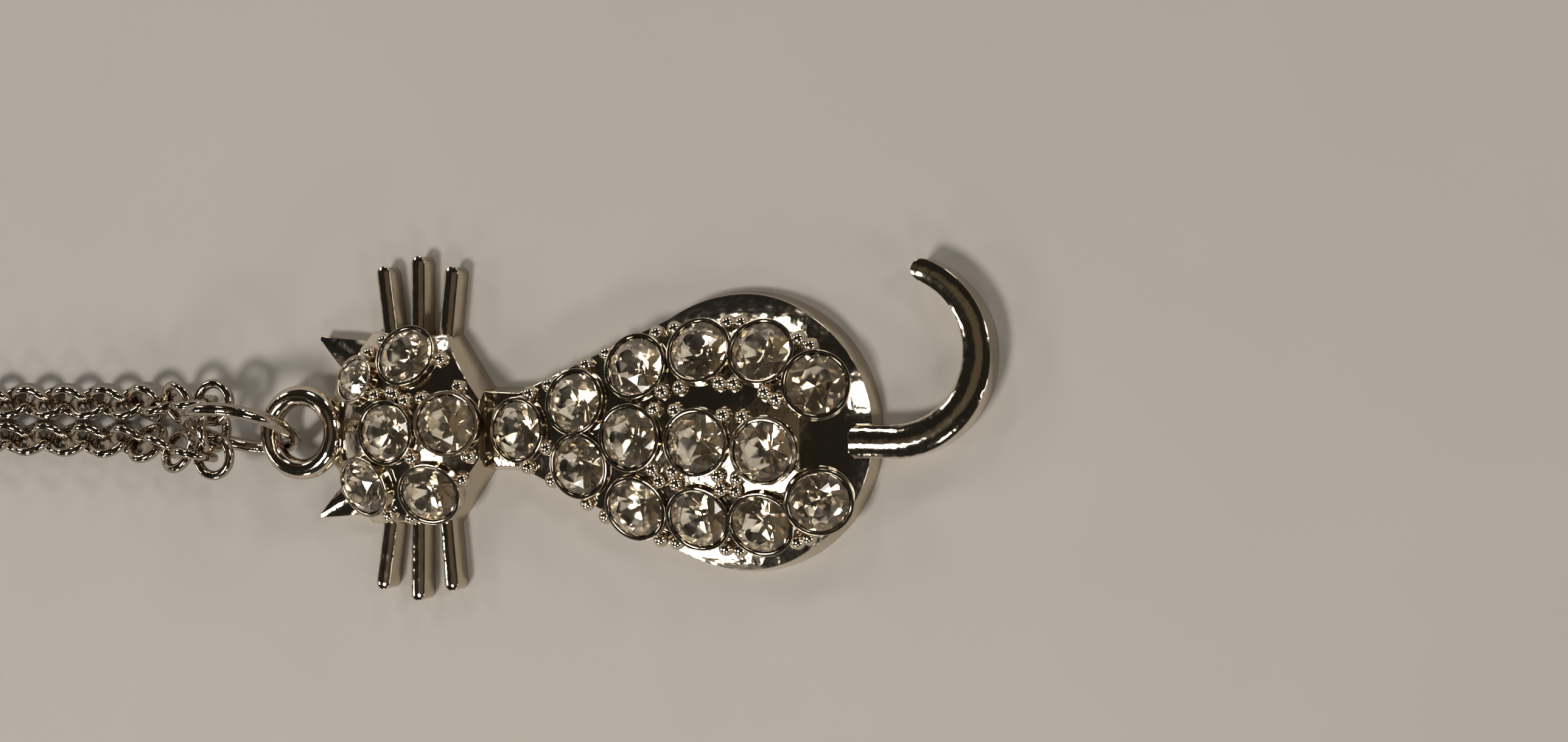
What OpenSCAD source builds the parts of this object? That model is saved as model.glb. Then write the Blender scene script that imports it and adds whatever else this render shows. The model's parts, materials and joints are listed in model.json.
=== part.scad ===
// Cat-shaped pendant with twenty set stones, on a cable chain with a lobster clasp.
// It lies on its back: Z points out of its face, the head is towards -X and the tail towards +X.
// The origin is on the flat back, at the middle of the round end of the body.

/* [Stones] */
// Diameter of a stone over its girdle
stone_d = 3.1; // [2.7:0.05:3.2]
// Diameter of the one small stone, at the left ear
small_stone_d = 2.3; // [1.8:0.05:2.8]
// Diameter of the flat table of a stone
table_d = 1.7; // [1.2:0.05:2]
// Height of the crown, from the girdle to the table
crown_h = 0.55; // [0.3:0.05:0.8]
// Thickness of the girdle
girdle_h = 0.1; // [0.05:0.01:0.2]
// Depth of the pavilion, from the girdle to the point
pavilion_h = 1.15; // [0.9:0.05:1.25]
// Clearance round a stone in its seat
seat_gap = 0.04; // [0.02:0.01:0.08]

/* [Cups] */
// Wall of a cup round its stone
cup_wall = 0.2; // [0.15:0.01:0.3]
// Height of a cup's rim above the dome
cup_rise = 0.4; // [0.3:0.05:0.6]
// Diameter of the cast grains between the cups
grain_d = 0.85; // [0.6:0.05:1]

/* [Body] */
// Radius of the round end of the body
body_r = 7.4; // [7:0.1:8]
// Thickness of the body at the top of its dome
body_h = 3.1; // [2.8:0.1:3.6]
// Radius of the dome across the body
dome_r = 13.1; // [12:0.1:15]
// Radius of the ridge along the body
ridge_r = 60; // [40:1:90]
// Radius of the dome where it falls to the tail
fall_r = 13.6; // [13.3:0.1:14.5]
// Lean of the side walls
wall_lean = 10; // [6:1:24]
// Width of the neck
neck_w = 4.6; // [4:0.1:5.4]
// Distance from the body's middle to the neck
neck_x = 12.8; // [12:0.1:13.5]

/* [Head] */
// Distance from the body's middle to the head's middle
head_x = 19.2; // [18.8:0.1:19.8]
// Width of the head over the cheeks
head_w = 11; // [10.4:0.1:12]
// Length of the head from chin to crown
head_l = 9.9; // [9.4:0.1:10.4]
// Length of the straight cheek
cheek_l = 5.2; // [4.4:0.1:5.8]
// Width of the crown between the ears
crown_w = 4.2; // [3.6:0.1:5]
// Thickness of the head at the top of its dome
head_h = 3; // [2.7:0.1:3.4]
// Radius of the head's dome
head_dome_r = 10.5; // [10:0.5:15]
// Length of an ear
ear_l = 3.2; // [2.6:0.1:4]
// Width of an ear at its root
ear_w = 2.8; // [2.2:0.1:3]
// Width of a whisker
whisker_w = 0.85; // [0.6:0.05:1]
// Reach of the middle whisker from the pendant's middle line
whisker_reach = 9.6; // [8:0.1:11]

/* [Tail] */
// Width of the tail at its root
tail_root_w = 1.75; // [1.4:0.05:2]
// Width of the tail at its tip
tail_tip_w = 1.15; // [0.9:0.05:1.4]
// Radius of the tail's curl
tail_curl_r = 4.5; // [3.8:0.1:5.5]
// Height of the tail above the back
tail_h = 2; // [1.7:0.1:2.4]

/* [Loop and jump ring] */
// Hole of the hanging loop
loop_hole_d = 3; // [2.6:0.1:3.4]
// Thickness of the hanging loop
loop_wire = 1.18; // [1:0.02:1.3]
// Height of the hanging loop's middle above the back
loop_z = 1.7; // [1.5:0.05:1.9]
// Outer diameter of the jump ring
ring_od = 6.8; // [6.4:0.1:7.6]
// Wire of the jump ring
ring_wire = 0.75; // [0.6:0.05:0.8]
// Lean of the standing jump ring from upright
ring_lean = 23; // [15:1:30]
// Clearance between the jump ring and the loop
ring_gap = 0.2; // [0.15:0.01:0.25]
// Width of the cut in the jump ring
ring_cut = 0.1; // [0.05:0.01:0.2]

/* [Chain] */
// Outer diameter of a link
link_od = 2.7; // [2.6:0.05:2.9]
// Wire of a link
link_wire = 0.54; // [0.48:0.02:0.58]
// Slack between neighbouring links
link_slack = 0.18; // [0.14:0.01:0.22]
// Clearance between the two strands
strand_gap = 0.12; // [0.1:0.01:0.3]
// Links on each strand beside the pendant, each a piece of its own
loose_links = 11; // [8:1:12]
// Links on each strand in the straight run to its coil
run_links = 13; // [10:1:16]
// Links on each strand in its coil
coil_links = 105; // [80:1:110]
// Radius of a coil at its outer turn
coil_r = 14.2; // [14:0.1:16]

/* [Clasp] */
// Length of the clasp from its eye to the middle of its hook
clasp_l = 10; // [9.5:0.1:10.5]
// Wire of the clasp's hook
hook_wire = 1.2; // [1:0.05:1.25]
// Opening of the clasp's hook
hook_open_d = 2.3; // [2.2:0.05:2.6]
// Diameter of the boss that carries the lever
boss_d = 3.4; // [3:0.1:3.8]
// Thickness of the boss
boss_h = 2; // [1.8:0.1:2.4]
// Hole of the clasp's eye
eye_hole_d = 1.1; // [1:0.05:1.3]
// Wire of the clasp's eye
eye_wire = 0.8; // [0.7:0.05:0.9]
// Diameter of the rivet that carries the lever
rivet_d = 0.7; // [0.6:0.05:0.8]
// Diameter of the lever's bar
lever_d = 0.8; // [0.7:0.05:0.85]
// Clearance between the lever and the clasp's body
lever_gap = 0.1; // [0.06:0.01:0.15]
// Outer diameter of the two rings at the clasp
end_ring_od = 4.4; // [4.3:0.05:4.6]
// Wire of the two rings at the clasp
end_ring_wire = 0.6; // [0.5:0.05:0.65]

/* [Hidden] */
$fn = 64;
big = 60;
metal = [0.30, 0.28, 0.26];
glass = [0.86, 0.88, 0.90];

// Stones: name, place along and across the pendant, diameter, extra lift, on the head or not
STONES = [
    ["ear_stone_left", -head_x - 3.25, 2.6, small_stone_d, 0.1, true],
    ["ear_stone_right", -head_x - 2.7, -3.15, stone_d, 0, true],
    ["cheek_stone_left", -head_x - 0.1, 3.9, stone_d, 0, true],
    ["cheek_stone_right", -head_x + 1.4, -3.45, stone_d, 0, true],
    ["brow_stone", -head_x - 0.9, -0.2, stone_d, 0, true],
    ["muzzle_stone", -head_x + 2.7, 0.3, stone_d, 0.4, true],
    ["neck_stone", -neck_x + 0.3, 0, stone_d, 0, false],
    ["shoulder_stone_left", -8.85, 1.5, stone_d, 0, false],
    ["shoulder_stone_right", -8.6, -1.8, stone_d, 0, false],
    ["left_stone_1", -5.35, 3.35, stone_d, 0, false],
    ["left_stone_2", -1.8, 4.15, stone_d, 0, false],
    ["left_stone_3", 1.6, 4.1, stone_d, 0, false],
    ["left_stone_4", 4.5, 2.45, stone_d, 0, false],
    ["middle_stone_1", -5.5, -0.3, stone_d, 0, false],
    ["middle_stone_2", -1.7, -0.5, stone_d, 0, false],
    ["middle_stone_3", 1.95, -0.9, stone_d, 0, false],
    ["right_stone_1", -5.4, -3.95, stone_d, 0, false],
    ["right_stone_2", -1.85, -4.4, stone_d, 0, false],
    ["right_stone_3", 1.55, -4.6, stone_d, 0, false],
    ["right_stone_4", 4.6, -3.4, stone_d, 0, false]
];
// Neighbouring stones that have grains in the notches on both sides
GRAIN_PAIRS = [
    [7, 9], [9, 10], [10, 11], [11, 12],
    [8, 16], [16, 17], [17, 18], [18, 19],
    [13, 14], [14, 15], [6, 7], [6, 8],
    [0, 2], [1, 3], [4, 5], [2, 5], [3, 5]
];
grain_turn = 50;
grain_rise = 0.12;

function stone_name(i) = STONES[i][0];
function stone_xy(i) = [STONES[i][1], STONES[i][2]];
function stone_size(i) = STONES[i][3];
function cup_r(i) = stone_size(i) / 2 + seat_gap + cup_wall;

// The dome of the body is turned about an axis below the back; its radius changes along the body
dome_depth = dome_r - body_h;
fall_x = -0.5;
ridge_x = -1;
fall_from = 1;
function ridge_at(x) = dome_r - ridge_r + sqrt(pow(ridge_r, 2) - pow(x - ridge_x, 2));
function fall_at(x) = sqrt(pow(fall_r, 2) - pow(x - fall_x, 2));
function turn_at(x) = x < fall_from ? ridge_at(x) : min(ridge_at(x), fall_at(x));
function slope_at(x) = (turn_at(x + 0.01) - turn_at(x - 0.01)) / 0.02;
function body_top(p) = sqrt(pow(turn_at(p.x), 2) - pow(p.y, 2)) - dome_depth;
function body_normal(p) = [-slope_at(p.x), p.y / turn_at(p.x), (body_top(p) + dome_depth) / turn_at(p.x)];
head_centre = [-head_x, 0, head_h - head_dome_r];
function head_top(p) =
    head_centre.z + sqrt(pow(head_dome_r, 2) - pow(p.x - head_centre.x, 2) - pow(p.y, 2));
function head_normal(p) = ([p.x, p.y, head_top(p)] - head_centre) / head_dome_r;
function on_head(p) = p.x < -neck_x - 1.5;
function surface_top(p) = on_head(p) ? head_top(p) : body_top(p);

// Seat of a stone: the middle of its girdle, and the way it faces
function seat_normal(i) = STONES[i][5] ? head_normal(stone_xy(i)) : body_normal(stone_xy(i));
function seat_point(i) =
    let (p = stone_xy(i), n = seat_normal(i))
    [p.x, p.y, surface_top(p)] + n * (cup_rise - girdle_h + STONES[i][4]);

module facing(n) {
    rotate([0, acos(n.z / norm(n)), atan2(n.y, n.x)])
        rotate([0, 0, -atan2(n.y, n.x)])
            children();
}

module at_seat(i) {
    translate(seat_point(i)) facing(seat_normal(i)) children();
}

// Brilliant cut: table, stars, kites and halves above the girdle, halves and mains below it
cut_sides = 8;
star_share = 0.55;
lower_share = 0.62;
function ring_points(count, r, z, turn) =
    [for (k = [0:count - 1]) [r * cos(360 / count * k + turn), r * sin(360 / count * k + turn), z]];

module brilliant(d) {
    k = d / stone_d;
    n = cut_sides;
    g = d / 2;
    t = k * table_d / 2;
    top = k * crown_h + k * girdle_h / 2;
    edge = k * girdle_h / 2;
    low = -edge - k * pavilion_h;
    half = 180 / n;
    mid_r = t + (g - t) * star_share;
    mid_z = top - (mid_r * cos(half) - t) / (g - t) * (top - edge);
    deep_r = g * lower_share;
    deep_z = low + deep_r * cos(half) / g * (-edge - low);
    points = concat(
        ring_points(n, t, top, 0),
        ring_points(n, mid_r, mid_z, half),
        ring_points(2 * n, g, edge, 0),
        ring_points(2 * n, g, -edge, 0),
        ring_points(n, deep_r, deep_z, half),
        [[0, 0, low]]
    );
    m = n;
    u = 2 * n;
    l = 4 * n;
    p = 6 * n;
    tip = 7 * n;
    faces = concat(
        [[for (j = [n - 1:-1:0]) j]],
        [for (j = [0:n - 1]) [j, (j + 1) % n, m + j]],
        [for (j = [0:n - 1]) [j, m + j, u + 2 * j]],
        [for (j = [0:n - 1]) [j, u + 2 * j, m + (j + n - 1) % n]],
        [for (j = [0:n - 1]) [m + j, u + (2 * j + 1), u + 2 * j]],
        [for (j = [0:n - 1]) [m + j, u + (2 * j + 2) % (2 * n), u + 2 * j + 1]],
        [for (j = [0:2 * n - 1]) [u + j, u + (j + 1) % (2 * n), l + j]],
        [for (j = [0:2 * n - 1]) [u + (j + 1) % (2 * n), l + (j + 1) % (2 * n), l + j]],
        [for (j = [0:n - 1]) [p + j, l + 2 * j, l + 2 * j + 1]],
        [for (j = [0:n - 1]) [p + j, l + 2 * j + 1, l + (2 * j + 2) % (2 * n)]],
        [for (j = [0:n - 1]) [tip, l + 2 * j, p + j]],
        [for (j = [0:n - 1]) [tip, p + (j + n - 1) % n, l + 2 * j]]
    );
    polyhedron(points, faces);
}

module stone(i) {
    color(glass) at_seat(i) brilliant(stone_size(i));
}

// The cup stands on the dome; the seat is a bore for the girdle and a cone for the pavilion
cup_root = 0.9;

module cup(i) {
    at_seat(i)
        translate([0, 0, -cup_root])
            cylinder(h = cup_root + girdle_h, r = cup_r(i));
}

module seat(i) {
    k = stone_size(i) / stone_d;
    r = stone_size(i) / 2 + seat_gap;
    depth = k * pavilion_h + seat_gap;
    at_seat(i) {
        translate([0, 0, -k * girdle_h / 2 - seat_gap]) cylinder(h = crown_h + cup_rise, r = r);
        translate([0, 0, -k * girdle_h / 2 - seat_gap - depth])
            cylinder(h = depth, r1 = depth * 0.05, r2 = r - 0.01);
    }
}

// Grains stand in the notches beside each pair of neighbours, clear of every seat
function grain_at(i, j, side) =
    let (u = (stone_xy(j) - stone_xy(i)) / norm(stone_xy(j) - stone_xy(i)), v = [-u.y, u.x] * side)
    stone_xy(i) + (cup_r(i) + grain_d * 0.3) * (cos(grain_turn) * u + sin(grain_turn) * v);
function grain_clear(p) =
    let (room = grain_d / 2 + seat_gap + 0.02)
    min([for (i = [0:len(STONES) - 1]) norm(p - stone_xy(i)) - stone_size(i) / 2]) > room;
GRAINS = [
    for (pair = GRAIN_PAIRS, side = [-1, 1], way = [0, 1])
        let (p = grain_at(pair[way], pair[1 - way], way == 0 ? side : -side))
        if (grain_clear(p)) p
];

module grain(p) {
    translate([p.x, p.y, surface_top(p) + grain_rise]) sphere(d = grain_d);
}

// A side wall through point p, running at angle a, leaning inwards; it takes away all that is outside it
module wall_cut(p, a) {
    translate(p)
        rotate([0, 0, a])
            rotate([wall_lean, 0, 0])
                translate([-big / 2, 0, -big / 2])
                    cube([big, big, big]);
}

// Profile of the body's dome, as radius along its axis
module dome_profile() {
    intersection() {
        translate([0, -neck_x - 4]) square([dome_r + 1, neck_x + 4 + body_r + 1]);
        translate([dome_r - ridge_r, ridge_x]) circle(r = ridge_r, $fn = 256);
        union() {
            translate([0, fall_x]) circle(r = fall_r, $fn = 128);
            translate([0, -big]) square([big, big + fall_from]);
        }
    }
}

module body_dome() {
    translate([0, 0, -dome_depth])
        rotate([0, 90, 0])
            rotate([0, 0, 180])
                rotate_extrude($fn = 128) dome_profile();
}

neck_corner = [-neck_x, neck_w / 2];
flank_inset = 0.1;
flank_at = atan2(neck_corner.y, neck_corner.x) - acos((body_r - flank_inset) / norm(neck_corner));
flank_point = (body_r - flank_inset) * [cos(flank_at), sin(flank_at)];
wall_h = 4;

module flank() {
    difference() {
        translate([-neck_x, -body_r, 0]) cube([neck_x + flank_point.x, 2 * body_r, wall_h]);
        wall_cut([flank_point.x, flank_point.y, 0], flank_at - 90);
        mirror([0, 1, 0]) wall_cut([flank_point.x, flank_point.y, 0], flank_at - 90);
    }
}

module neck() {
    top_w = neck_w / 2 - wall_h * tan(wall_lean);
    neck_l = -neck_x - chin_x + 1;
    translate([-neck_x - neck_l, 0, 0])
        rotate([90, 0, 90])
            linear_extrude(neck_l + 0.4)
                polygon([[-neck_w / 2, 0], [neck_w / 2, 0], [top_w, wall_h], [-top_w, wall_h]]);
}

module body_metal() {
    intersection() {
        union() {
            cylinder(h = wall_h, r1 = body_r, r2 = body_r - wall_h * tan(wall_lean), $fn = 128);
            flank();
            neck();
        }
        body_dome();
    }
}

// Head outline, left half, from the crown to the chin
chin_l = 4.2;
chin_slope = 2.2;
chin_x = -head_x + chin_l;
crown_x = chin_x - head_l;
cheek_from = chin_x - chin_slope - cheek_l;
HEAD_EDGE = [
    [crown_x, crown_w / 2],
    [cheek_from, head_w / 2],
    [cheek_from + cheek_l, head_w / 2 - 0.1],
    [chin_x, neck_w / 2 - 0.1]
];
function edge_angle(i) =
    atan2(HEAD_EDGE[i + 1].y - HEAD_EDGE[i].y, HEAD_EDGE[i + 1].x - HEAD_EDGE[i].x);

module head_metal() {
    intersection() {
        difference() {
            translate([crown_x, -head_w, 0]) cube([head_l, 2 * head_w, wall_h]);
            for (i = [0:2]) {
                wall_cut([HEAD_EDGE[i].x, HEAD_EDGE[i].y, 0], edge_angle(i));
                mirror([0, 1, 0]) wall_cut([HEAD_EDGE[i].x, HEAD_EDGE[i].y, 0], edge_angle(i));
            }
            wall_cut([crown_x, 0, 0], 90);
        }
        translate(head_centre) sphere(r = head_dome_r, $fn = 128);
    }
}

// Ears, whiskers and tail have upright sides on the flat back and a round top
ear_turn = 154;
ear_top = 1.5;
ear_fall = 12;
ear_roof_r = 1.5;
ear_tip_d = 0.36;
tip_ease = 0.04;

module ear() {
    tip_w = ear_tip_d * 0.9;
    translate([cheek_from - 0.4, head_w / 2 - ear_w / 2 - 0.5, 0])
        rotate([0, 0, ear_turn])
            intersection() {
                union() {
                    linear_extrude(wall_h)
                        polygon([[0, -ear_w / 2], [ear_l, -tip_w / 2], [ear_l, tip_w / 2], [0, ear_w / 2]]);
                    translate([ear_l, 0, 0]) cylinder(h = wall_h, d = ear_tip_d);
                }
                translate([0, 0, ear_top - ear_roof_r])
                    rotate([0, 90 + ear_fall, 0])
                        translate([0, 0, -1]) cylinder(h = ear_l + 2, r = ear_roof_r);
            }
}

// Whiskers fan out a little: place of the root along the head, turn, shortfall from the middle one
WHISKERS = [[-1.75, 8, 0.5], [-0.1, 0, 0], [1.6, -6, 0.6]];
whisker_top = 1.3;
whisker_roof_r = whisker_w;

module whisker(w) {
    root_y = head_w / 2 - 0.9;
    reach = whisker_reach - root_y - w[2] - whisker_w / 2;
    translate([-head_x + w[0], root_y, 0])
        rotate([0, 0, w[1]])
            intersection() {
                union() {
                    translate([-whisker_w / 2, 0, 0]) cube([whisker_w, reach, wall_h]);
                    translate([0, reach, 0]) cylinder(h = wall_h, d = whisker_w - tip_ease);
                }
                translate([0, 0, whisker_top - whisker_roof_r]) {
                    rotate([-90, 0, 0]) cylinder(h = reach, r = whisker_roof_r);
                    translate([0, reach, 0]) sphere(r = whisker_roof_r);
                }
            }
}

// Tail: a straight root on the body, then one arc that gets narrower; the centres of the arc's two edges
// are set apart by twice the swing
tail_root_x = 6.1;
tail_bend_x = 8.25;
tail_y = -0.4;
tail_tip_turn = 68;
tail_roof_r = 1.3;
tail_roof_more = 20;
tail_lap = 0.2;
tail_swing = (tail_root_w - tail_tip_w) / 2 / (1 + sin(tail_tip_turn));
tail_half_w = tail_root_w / 2 - tail_swing;
tail_field = 2 * tail_curl_r;

module tail_plan() {
    translate([tail_root_x, tail_y - tail_root_w / 2 + tip_ease])
        square([tail_bend_x - tail_root_x + tail_lap, tail_root_w - 2 * tip_ease]);
    translate([tail_bend_x, tail_y + tail_curl_r]) {
        intersection() {
            difference() {
                translate([0, -tail_swing]) circle(r = tail_curl_r + tail_half_w);
                translate([0, tail_swing]) circle(r = tail_curl_r - tail_half_w);
            }
            polygon([
                [0, 0], [0, -tail_field], [tail_field, -tail_field], [tail_field, tail_field],
                [tail_field / tan(tail_tip_turn), tail_field]
            ]);
        }
        rotate(tail_tip_turn) translate([tail_curl_r, 0]) circle(d = tail_tip_w - tip_ease);
    }
}

module tail() {
    intersection() {
        linear_extrude(wall_h) tail_plan();
        translate([0, 0, tail_h - tail_roof_r]) {
            translate([tail_root_x, tail_y, 0])
                rotate([0, 90, 0]) cylinder(h = tail_bend_x - tail_root_x, r = tail_roof_r);
            translate([tail_bend_x, tail_y + tail_curl_r, 0])
                rotate([0, 0, -90])
                    rotate_extrude(angle = 90 + tail_tip_turn + tail_roof_more, $fn = 128)
                        translate([tail_curl_r, 0]) circle(r = tail_roof_r, $fn = 64);
        }
    }
}

// Hanging loop, sunk a little into the crown of the head
loop_r = (loop_hole_d + loop_wire) / 2;
loop_sink = 1.1;
loop_centre = [crown_x - loop_r - loop_wire / 2 + loop_sink, -0.3, loop_z];

module torus(r, wire) {
    rotate_extrude($fn = 96) translate([r, 0]) circle(d = wire, $fn = 32);
}

module casting() {
    color(metal) difference() {
        union() {
            body_metal();
            head_metal();
            for (s = [0, 1]) mirror([0, s, 0]) {
                ear();
                for (w = WHISKERS) whisker(w);
            }
            tail();
            translate(loop_centre) torus(loop_r, loop_wire);
            for (i = [0:len(STONES) - 1]) cup(i);
            for (p = GRAINS) grain(p);
        }
        for (i = [0:len(STONES) - 1]) seat(i);
    }
}

// Jump ring: stands on its edge, leans, and hooks the outer side of the loop
ring_r = (ring_od - ring_wire) / 2;
hook_point = loop_centre - [loop_r, 0, 0];
ring_z = ring_r * cos(ring_lean) + ring_wire / 2;
hook_reach = ring_r - ring_wire / 2 - loop_wire / 2 - ring_gap;
hook_up = (ring_z - hook_point.z) / cos(ring_lean);
ring_y = -0.1;
ring_centre = [hook_point.x - sqrt(pow(hook_reach, 2) - pow(hook_up, 2)), ring_y, ring_z];
ring_cut_turn = -25;

module jump_ring() {
    cut_angle = ring_cut / ring_r * 180 / PI;
    color(metal)
        translate(ring_centre)
            rotate([90 - ring_lean, 0, 0])
                rotate([0, 0, ring_cut_turn])
                    rotate_extrude(angle = 360 - cut_angle, $fn = 128)
                        translate([ring_r, 0]) circle(d = ring_wire, $fn = 48);
}

// Chain: the middle link stands inside the ring, against its wire, and both strands start from it
link_r = (link_od - link_wire) / 2;
link_pitch = link_od - 2 * link_wire - link_slack;
carry_turn = 184;
carry_way = [cos(carry_turn), sin(carry_turn) * sin(ring_lean), sin(carry_turn) * cos(ring_lean)];
carry_point = ring_centre + ring_r * carry_way;
middle_room = ring_r - ring_wire / 2 - link_wire / 2 - ring_gap;
middle_out = sqrt(pow(middle_room, 2) - pow(link_r, 2));
middle_point = ring_centre + middle_out * carry_way;
first_out = 2 * link_r - link_wire - link_slack / 2;
first_back = 0.03;
lane_mid = 0.2;
lane_y = link_r * sin(45) + link_wire / 2 + strand_gap / 2;
lane_z = link_r * sin(45) + link_wire / 2;
settle_links = 3.2;

// Point of link i (from 1) on strand side (1 left, -1 right) along the straight run
function eased(i) = exp(-pow((i - 1) / settle_links, 2));
function run_point(side, i) = [
    middle_point.x - first_back - (i - 1) * link_pitch,
    lane_mid + side * lane_y + (middle_point.y - lane_mid + side * (first_out - lane_y)) * eased(i),
    lane_z + (middle_point.z - lane_z) * eased(i)
];
function run_dir(side, i) = run_point(side, i + 0.5) - run_point(side, i - 0.5);
function run_roll(side, i) = -side * (90 * (i - 1) + min(9 * (i - 1), 45));

module link_at(p, dir, roll) {
    translate(p)
        rotate([0, -atan2(dir.z, norm([dir.x, dir.y])), atan2(dir.y, dir.x)])
            rotate([roll, 0, 0])
                torus(link_r, link_wire);
}

module middle_link() {
    color(metal)
        translate(ring_centre)
            rotate([90 - ring_lean, 0, 0])
                rotate([0, 0, carry_turn])
                    translate([middle_out, 0, 0])
                        rotate([0, 90, 0]) torus(link_r, link_wire);
}

module loose_link(side, i) {
    color(metal) link_at(run_point(side, i), run_dir(side, i), run_roll(side, i));
}

// Coil: each strand winds inwards to its own side. The length of strand wound up gives the radius.
// The count of links makes the end link lean towards its ring.
run_total = loose_links + run_links;
coil_count = coil_links + (run_total + coil_links + 1) % 2;
turn_step = 2 * lane_y;
coil_x = run_point(1, run_total).x - link_pitch;
function coil_y(side) = lane_mid + side * (lane_y + coil_r);
function coil_turn_r(i) = sqrt(pow(coil_r, 2) - turn_step / PI * (i - 1) * link_pitch);
function coil_angle(i) = (coil_r - coil_turn_r(i)) * 360 / turn_step;
function coil_out(side, i) = let (a = coil_angle(i)) [-sin(a), -side * cos(a), 0];
function coil_dir(side, i) = let (a = coil_angle(i)) [-cos(a), side * sin(a), 0];
function coil_point(side, i) = [coil_x, coil_y(side), lane_z] + coil_turn_r(i) * coil_out(side, i);

module strand(side) {
    color(metal) {
        for (i = [loose_links + 1:run_total])
            link_at(run_point(side, i), run_dir(side, i), run_roll(side, i));
        for (i = [1:coil_count])
            link_at(coil_point(side, i), coil_dir(side, i), run_roll(side, run_total + i));
    }
}

// The rings at the ends of the strands stand upright, turned inwards from the end link
end_ring_r = (end_ring_od - end_ring_wire) / 2;
end_ring_z = end_ring_od / 2;
end_ring_turn = 50;
ring_seat = 0.37;
clasp_z = 1.6;
function level_reach(z) = sqrt(pow(end_ring_r, 2) - pow(end_ring_z - z, 2));
function end_way(side) =
    cos(end_ring_turn) * coil_dir(side, coil_count) - sin(end_ring_turn) * coil_out(side, coil_count);
function end_ring_point(side) =
    let (p = coil_point(side, coil_count) + (level_reach(lane_z) + ring_seat) * end_way(side))
    [p.x, p.y, end_ring_z];

module end_ring(side) {
    color(metal)
        translate(end_ring_point(side))
            rotate([90, 0, atan2(end_way(side).y, end_way(side).x)])
                torus(end_ring_r, end_ring_wire);
}

// Clasp: an eye on the left strand's ring, a boss with a slot for the lever, and a hook.
// It lies across the middle of the left coil.
eye_r = (eye_hole_d + eye_wire) / 2;
hook_r = (hook_open_d + hook_wire) / 2;
eye_rim = end_ring_point(1) + level_reach(clasp_z) * end_way(1);
eye_point = [eye_rim.x, eye_rim.y, clasp_z];
clasp_turn = atan2(coil_y(1) - eye_point.y, coil_x - eye_point.x);
boss_x = 4.2;
rivet_at = [boss_x, 0.5];
hook_from = -115;
hook_to = 60;
slot_h = lever_d + 2 * lever_gap;
slot_floor = -0.6;
rivet_fit = 0.02;
lever_fit = 0.05;
lever_reach = clasp_l - rivet_at.x + 0.35;
lever_turn = 12.5;
tang_d = 1.7;
slot_from = boss_x - tang_d / 2 - lever_gap;

module in_clasp() {
    translate(eye_point) rotate([0, 0, clasp_turn]) children();
}

module rod(from, to, d) {
    way = to - from;
    translate([from.x, from.y, 0])
        rotate([0, 90, atan2(way.y, way.x)])
            cylinder(h = norm(way), d = d);
}

module clasp_body() {
    hook_start = [clasp_l + hook_r * cos(hook_from), hook_r * sin(hook_from)];
    color(metal) in_clasp() difference() {
        union() {
            torus(eye_r, eye_wire);
            rod([eye_r, 0], [boss_x, 0], hook_wire);
            translate([boss_x, 0, -boss_h / 2]) cylinder(h = boss_h, d = boss_d);
            rod([boss_x, -boss_d / 4], hook_start + [0.2, -0.1], hook_wire);
            translate([clasp_l, 0, 0])
                rotate([0, 0, hook_from])
                    rotate_extrude(angle = hook_to - hook_from, $fn = 96)
                        translate([hook_r, 0]) circle(d = hook_wire, $fn = 32);
        }
        translate([slot_from, slot_floor, -slot_h / 2])
            cube([tang_d / 2 + boss_d / 2 + 3 * lever_gap, boss_d, slot_h]);
        translate([rivet_at.x, rivet_at.y, -boss_h]) cylinder(h = 2 * boss_h, d = rivet_d + 2 * rivet_fit);
    }
}

module clasp_rivet() {
    color(metal) in_clasp()
        translate([rivet_at.x, rivet_at.y, -boss_h / 2]) cylinder(h = boss_h, d = rivet_d);
}

module clasp_lever() {
    tab_at = 2.2;
    color(metal) in_clasp()
        translate([rivet_at.x, rivet_at.y, 0])
            difference() {
                union() {
                    translate([0, 0, -lever_d / 2]) cylinder(h = lever_d, d = tang_d);
                    rotate([0, 0, lever_turn]) {
                        rod([0, 0], [lever_reach, 0], lever_d);
                        rod([tab_at, 0], [tab_at, 1.3], lever_d * 0.9);
                    }
                }
                translate([0, 0, -lever_d]) cylinder(h = 2 * lever_d, d = rivet_d + 2 * lever_fit);
            }
}

module clasp_spring() {
    leaf_l = 2;
    leaf_t = 0.1;
    color(metal) in_clasp()
        translate([slot_from + lever_fit, slot_floor + lever_fit, -lever_d / 2])
            cube([leaf_l, leaf_t, lever_d]);
}

SIDES = [["left", 1], ["right", -1]];
LINK_NODES = [for (s = SIDES, i = [1:loose_links]) str(s[0], "_link_", i)];
STRAND_NODES = [for (s = SIDES) str(s[0], "_strand")];
END_RING_NODES = [for (s = SIDES) str(s[0], "_end_ring")];

casting();
for (i = [0:len(STONES) - 1])
    stone(i);
jump_ring();
middle_link();
for (s = SIDES, i = [1:loose_links])
    loose_link(s[1], i);
for (s = SIDES)
    strand(s[1]);
for (s = SIDES)
    end_ring(s[1]);
clasp_body();
clasp_rivet();
clasp_lever();
clasp_spring();
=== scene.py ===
"""Looks of the cat pendant necklace: plated casting, cut stones, ring, chain and clasp on a pale floor."""
import json
import math

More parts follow.
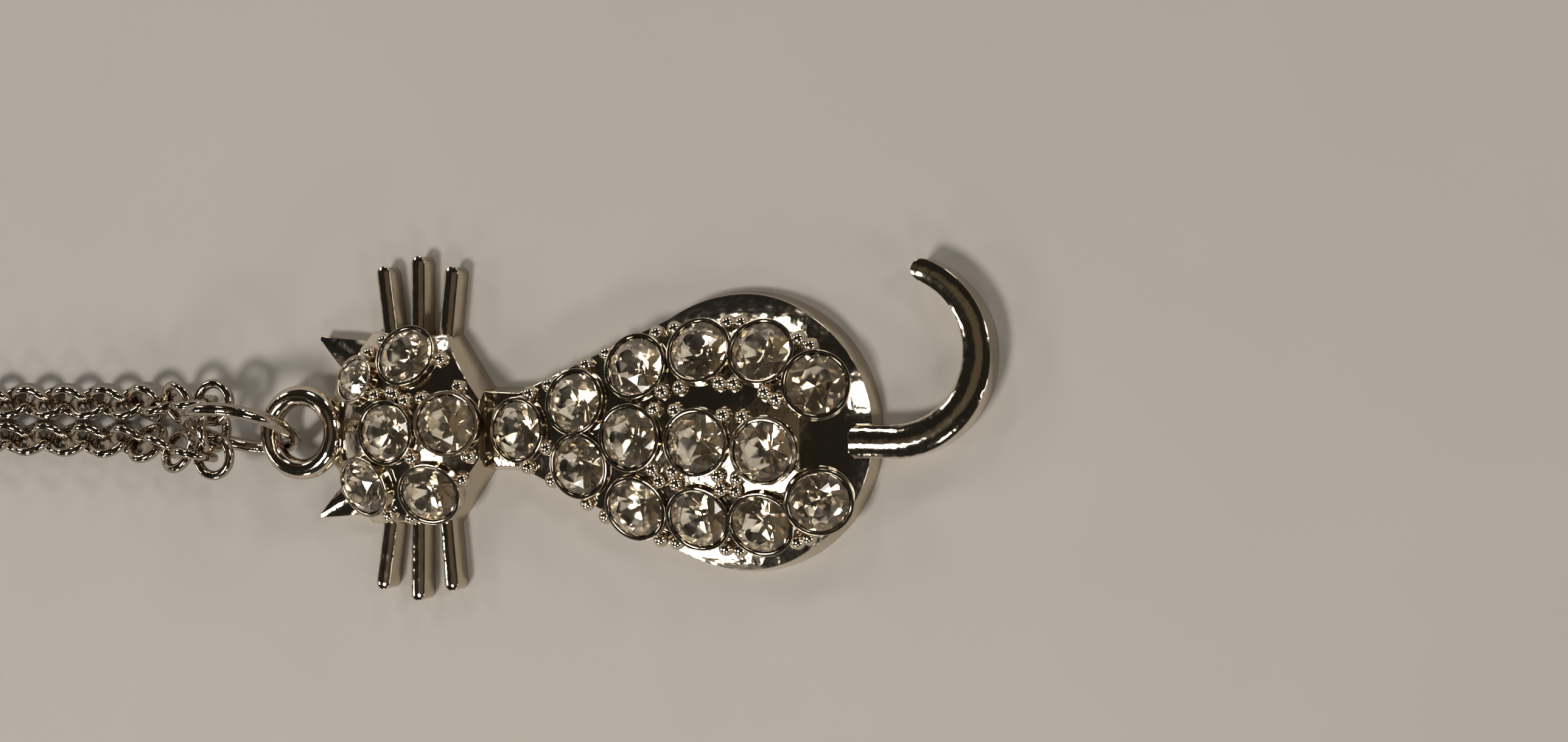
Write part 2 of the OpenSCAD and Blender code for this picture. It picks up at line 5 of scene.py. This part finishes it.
import bpy
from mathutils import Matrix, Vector


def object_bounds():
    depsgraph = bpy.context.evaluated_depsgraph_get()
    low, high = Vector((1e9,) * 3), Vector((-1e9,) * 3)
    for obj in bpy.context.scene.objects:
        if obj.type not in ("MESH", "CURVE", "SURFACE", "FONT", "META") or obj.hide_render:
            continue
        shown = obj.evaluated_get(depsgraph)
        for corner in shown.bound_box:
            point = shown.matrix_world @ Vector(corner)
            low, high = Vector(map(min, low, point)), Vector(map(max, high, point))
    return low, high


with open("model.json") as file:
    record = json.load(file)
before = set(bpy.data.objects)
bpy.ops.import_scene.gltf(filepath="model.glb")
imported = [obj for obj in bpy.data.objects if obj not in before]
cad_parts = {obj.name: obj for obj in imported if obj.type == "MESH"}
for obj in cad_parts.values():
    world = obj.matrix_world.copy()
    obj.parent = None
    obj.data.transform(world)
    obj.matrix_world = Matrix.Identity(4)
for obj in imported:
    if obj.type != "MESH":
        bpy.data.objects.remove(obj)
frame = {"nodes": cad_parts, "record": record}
cad_low, cad_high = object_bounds()
nodes = frame["nodes"]
slots = {s["node"]: s["material_slot"] for s in frame["record"]["subparts"]}

MM = 0.001

# The camera looks down on the pendant and leans from straight above towards the tail
CAMERA_LEAN = math.radians(20)
CAMERA_AT = Vector((36.85, 3.18, 95.97)) * MM
SENSOR = 36
FRAME_WIDTH_PX = 2576
FOCAL_PX = 3200

# Sizes of the textures, in features per metre
FILM_SCALE = 420.0
WEAR_SCALE = 2600.0
GLASS_WEAR_SCALE = 3000.0
FOIL_CLOUD_SCALE = 900.0
MOTTLE_SCALE = 90.0

# Plating: the reach of a recess that gets painted shade and brown film, the casting's waves, and samples for
# edges and recesses
RECESS_SHADE_REACH = 0.6 * MM
WAVE_DEPTH = 0.08 * MM
WAVE_STRENGTH = 0.45
EDGE_SAMPLES = 6

GLASS_TINT = (1.0, 0.985, 0.955)
GLASS_IOR = 1.56
FOIL_TINTS = ((0.92, 0.81, 0.65), (1.0, 0.94, 0.83))
FLOOR_TINTS = ((0.43, 0.405, 0.37), (0.46, 0.432, 0.395))
FLOOR_ROUGHNESS = 0.55
FLOOR_GLOSS = 0.25

# A stone's faces that look down by more than this carry foil
PAVILION_FACING = -0.2


def new_material(name):
    """A material with its node tree, its Principled shader and a function that adds a node with its inputs."""
    material = bpy.data.materials.new(name)
    material.use_nodes = True
    tree = material.node_tree
    shader = tree.nodes["Principled BSDF"]

    def add(kind, **inputs):
        node = tree.nodes.new(kind)
        for key, value in inputs.items():
            node.inputs[key.replace("_", " ")].default_value = value
        return node

    return material, tree, shader, add


def two_tints(tree, add, factor, first, second):
    """A mix of two colours, driven by a factor output."""
    shade = add("ShaderNodeMix")
    shade.data_type = "RGBA"
    colour_a, colour_b = [s for s in shade.inputs if s.type == "RGBA"]
    colour_a.default_value = (*first, 1)
    colour_b.default_value = (*second, 1)
    tree.links.new(factor, shade.inputs["Factor"])
    return next(s for s in shade.outputs if s.type == "RGBA")


def plated_metal(name, colour, tarnish_and_shade, roughness, wave_mm, edge_mm):
    """Polished plating: painted shade and brown film in the recesses, fine wear in the gloss, the faint
    waviness of a casting and edges that are a little rounded."""
    material, tree, shader, add = new_material(name)
    shader.inputs["Metallic"].default_value = 1.0
    place = add("ShaderNodeTexCoord")
    film = add("ShaderNodeTexNoise", Scale=FILM_SCALE, Detail=4.0)
    wear = add("ShaderNodeTexNoise", Scale=WEAR_SCALE, Detail=6.0)
    wave = add("ShaderNodeTexNoise", Scale=1 / (wave_mm * MM), Detail=2.0)
    for texture in (film, wear, wave):
        tree.links.new(place.outputs["Object"], texture.inputs["Vector"])
    # Painted shade: where ambient occlusion finds a recess, the colour goes towards the dark brown film
    # colour, in patches
    recess_shade = add("ShaderNodeAmbientOcclusion", Distance=RECESS_SHADE_REACH)
    recess_shade.samples = EDGE_SAMPLES
    deep_shade = add("ShaderNodeMapRange", From_Min=0.15, From_Max=0.6, To_Min=1.0, To_Max=0.0)
    tree.links.new(recess_shade.outputs["AO"], deep_shade.inputs["Value"])
    film_and_shade_mask = add("ShaderNodeMath")
    film_and_shade_mask.operation = "MULTIPLY"
    tree.links.new(deep_shade.outputs["Result"], film_and_shade_mask.inputs[0])
    tree.links.new(film.outputs["Fac"], film_and_shade_mask.inputs[1])
    tint = two_tints(tree, add, film_and_shade_mask.outputs["Value"], colour, tarnish_and_shade)
    tree.links.new(tint, shader.inputs["Base Color"])
    gloss = add("ShaderNodeMapRange", From_Min=0.35, From_Max=0.75, To_Min=roughness, To_Max=roughness * 2)
    tree.links.new(wear.outputs["Fac"], gloss.inputs["Value"])
    tree.links.new(gloss.outputs["Result"], shader.inputs["Roughness"])
    edge = add("ShaderNodeBevel", Radius=edge_mm * MM)
    edge.samples = EDGE_SAMPLES
    relief = add("ShaderNodeBump", Strength=WAVE_STRENGTH, Distance=WAVE_DEPTH)
    tree.links.new(wave.outputs["Fac"], relief.inputs["Height"])
    tree.links.new(edge.outputs["Normal"], relief.inputs["Normal"])
    tree.links.new(relief.outputs["Normal"], shader.inputs["Normal"])
    return material


def cut_glass(name):
    """Clear glass of a stone's crown, with facets that are a little worn."""
    material, tree, shader, add = new_material(name)
    shader.inputs["Base Color"].default_value = (*GLASS_TINT, 1)
    shader.inputs["Transmission Weight"].default_value = 1.0
    shader.inputs["IOR"].default_value = GLASS_IOR
    place = add("ShaderNodeTexCoord")
    wear = add("ShaderNodeTexNoise", Scale=GLASS_WEAR_SCALE, Detail=5.0)
    gloss = add("ShaderNodeMapRange", From_Min=0.45, From_Max=0.85, To_Min=0.0, To_Max=0.05)
    tree.links.new(place.outputs["Object"], wear.inputs["Vector"])
    tree.links.new(wear.outputs["Fac"], gloss.inputs["Value"])
    tree.links.new(gloss.outputs["Result"], shader.inputs["Roughness"])
    return material


def stone_foil(name):
    """Silver foil on the pavilion of a stone, a little clouded."""
    material, tree, shader, add = new_material(name)
    shader.inputs["Metallic"].default_value = 1.0
    place = add("ShaderNodeTexCoord")
    cloud = add("ShaderNodeTexNoise", Scale=FOIL_CLOUD_SCALE, Detail=3.0)
    tree.links.new(place.outputs["Object"], cloud.inputs["Vector"])
    tint = two_tints(tree, add, cloud.outputs["Fac"], *FOIL_TINTS)
    tree.links.new(tint, shader.inputs["Base Color"])
    gloss = add("ShaderNodeMapRange", From_Min=0.3, From_Max=0.7, To_Min=0.05, To_Max=0.16)
    tree.links.new(cloud.outputs["Fac"], gloss.inputs["Value"])
    tree.links.new(gloss.outputs["Result"], shader.inputs["Roughness"])
    return material


def floor_board(name):
    """Pale board with a hardly visible mottle."""
    material, tree, shader, add = new_material(name)
    shader.inputs["Roughness"].default_value = FLOOR_ROUGHNESS
    shader.inputs["Specular IOR Level"].default_value = FLOOR_GLOSS
    place = add("ShaderNodeTexCoord")
    mottle = add("ShaderNodeTexNoise", Scale=MOTTLE_SCALE, Detail=4.0)
    tree.links.new(place.outputs["Object"], mottle.inputs["Vector"])
    tint = two_tints(tree, add, mottle.outputs["Fac"], *FLOOR_TINTS)
    tree.links.new(tint, shader.inputs["Base Color"])
    return material


# Dark brown of the film, which also paints shade into the recesses
TARNISH_AND_SHADE = (0.16, 0.11, 0.06)
METALS = {
    "plated_casting": plated_metal("plated_casting", (0.60, 0.52, 0.41), TARNISH_AND_SHADE,
                                   roughness=0.06, wave_mm=0.9, edge_mm=0.09),
    "chain_wire": plated_metal("chain_wire", (0.40, 0.34, 0.27), TARNISH_AND_SHADE,
                               roughness=0.07, wave_mm=0.5, edge_mm=0.03),
    "clasp_metal": plated_metal("clasp_metal", (0.44, 0.38, 0.30), TARNISH_AND_SHADE,
                                roughness=0.08, wave_mm=0.7, edge_mm=0.06),
    "spring_steel": plated_metal("spring_steel", (0.62, 0.62, 0.62), TARNISH_AND_SHADE,
                                 roughness=0.16, wave_mm=0.3, edge_mm=0.02),
}
GLASS = cut_glass("stone_glass")
FOIL = stone_foil("stone_foil")


def paint(obj, *materials):
    obj.data.materials.clear()
    for material in materials:
        obj.data.materials.append(material)


def facing_up(obj):
    """The way a stone faces: the normal shared by the largest flat area, the table."""
    areas = {}
    for face in obj.data.polygons:
        key = tuple(round(v, 2) for v in face.normal)
        areas[key] = areas.get(key, 0) + face.area
    return Vector(max(areas, key=areas.get))


def dress_stone(obj):
    """Glass above the girdle and foil below it."""
    paint(obj, GLASS, FOIL)
    axis = facing_up(obj)
    for face in obj.data.polygons:
        face.use_smooth = False
        face.material_index = 1 if face.normal.dot(axis) < PAVILION_FACING else 0


for name, obj in nodes.items():
    if slots[name] == "stone_glass":
        dress_stone(obj)
    else:
        paint(obj, METALS[slots[name]])
        for face in obj.data.polygons:
            face.use_smooth = True

# Floor
FLOOR_SIZE = 1.2
FLOOR_DROP = 0.01 * MM
bpy.ops.mesh.primitive_plane_add(size=FLOOR_SIZE, location=(0, 0, cad_low.z - FLOOR_DROP))
floor = bpy.context.object
floor.name = "floor"
paint(floor, floor_board("floor_board"))

# Lights: one lamp high up on the near left, and small panels low down all around
LIT_POINT = Vector((-8, 0, 0)) * MM


def area_light(name, azimuth, elevation, distance, size, power, colour):
    """An area lamp that faces the pendant; azimuth 0 is towards +X and 90 towards +Y."""
    turn, rise = math.radians(azimuth), math.radians(elevation)
    way = Vector((math.cos(rise) * math.cos(turn), math.cos(rise) * math.sin(turn), math.sin(rise)))
    data = bpy.data.lights.new(name, "AREA")
    data.shape = "RECTANGLE"
    data.size, data.size_y = size
    data.energy = power
    data.color = colour
    lamp = bpy.data.objects.new(name, data)
    lamp.location = LIT_POINT + way * distance
    lamp.rotation_euler = (-way).to_track_quat("-Z", "Y").to_euler()
    bpy.context.scene.collection.objects.link(lamp)


LAMP_TINT = (1.0, 0.96, 0.90)
LAMP_SIZE = (0.09, 0.09)
SPARK_SIZE = (0.085, 0.07)
# Azimuth and elevation of each small panel
SPARKS = ((-165, 30), (-115, 24), (-70, 38), (-25, 28), (20, 40), (65, 26), (110, 38), (150, 26))
area_light("lamp", azimuth=-126, elevation=63, distance=0.45, size=LAMP_SIZE, power=1.12, colour=LAMP_TINT)
for i, (turn, rise) in enumerate(SPARKS):
    area_light(f"spark_{i + 1}", turn, rise, distance=0.5, size=SPARK_SIZE, power=0.25, colour=LAMP_TINT)

# Room: pale walls low down, darkness above them and a dim ceiling, as height and colour
ROOM = (
    (0.15, (0.60, 0.57, 0.53)),
    (0.36, (0.02, 0.019, 0.018)),
    (0.92, (0.02, 0.018, 0.015)),
    (0.99, (0.12, 0.095, 0.065)),
)
world = bpy.data.worlds.new("room")
bpy.context.scene.world = world
world.use_nodes = True
room = world.node_tree
way = room.nodes.new("ShaderNodeTexCoord")
height = room.nodes.new("ShaderNodeSeparateXYZ")
tones = room.nodes.new("ShaderNodeValToRGB")
tones.color_ramp.interpolation = "EASE"
stops = tones.color_ramp.elements
while len(stops) < len(ROOM):
    stops.new(0.5)
for stop, (place, colour) in zip(stops, ROOM):
    stop.position = place
    stop.color = (*colour, 1)
room.links.new(way.outputs["Generated"], height.inputs["Vector"])
room.links.new(height.outputs["Z"], tones.inputs["Fac"])
room.links.new(tones.outputs["Color"], room.nodes["Background"].inputs["Color"])

# Camera
camera_data = bpy.data.cameras.new("camera")
camera_data.sensor_width = SENSOR
camera_data.lens = FOCAL_PX / FRAME_WIDTH_PX * SENSOR
camera_data.clip_start = 1 * MM
camera = bpy.data.objects.new("camera", camera_data)
camera.location = CAMERA_AT
camera.rotation_euler = (0, CAMERA_LEAN, 0)
bpy.context.scene.collection.objects.link(camera)
bpy.context.scene.camera = camera
bpy.context.scene.view_settings.view_transform = "Standard"
